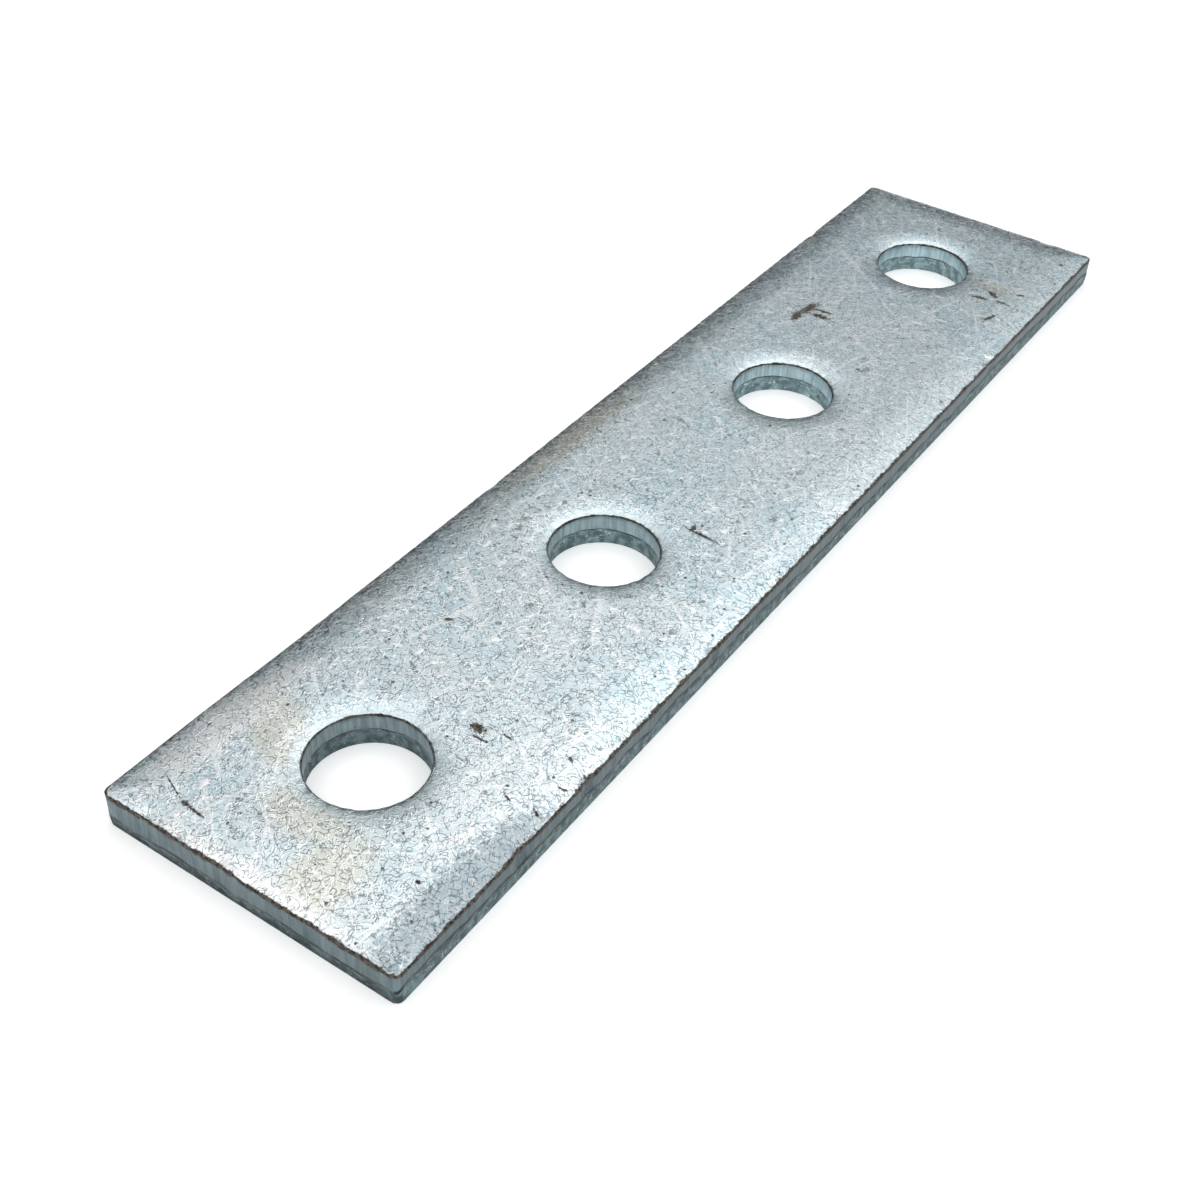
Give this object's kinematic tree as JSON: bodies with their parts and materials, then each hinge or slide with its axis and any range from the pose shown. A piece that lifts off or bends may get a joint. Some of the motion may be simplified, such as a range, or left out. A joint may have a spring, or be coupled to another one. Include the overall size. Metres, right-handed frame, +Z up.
{
  "type": "flat fishplate",
  "caption": "Flat strip fishplate of zinc-plated steel: a row of punched bolt holes that joins two rail ends, with rolled-over sheared edges.",
  "frame": {"origin": "middle of the plate's lower face", "axes": "+X along the row of holes, +Y across the plate, +Z up through the holes to the face that the punch entered"},
  "size_m": [0.175, 0.04, 0.005],
  "materials": {
    "zinc_plate": "bright zinc plate on mild steel, dulled by tumbling, with fine scratches and a few brown stains"
  },
  "bodies": {
    "root": {"plate": "zinc_plate"}
  },
  "joints": []
}
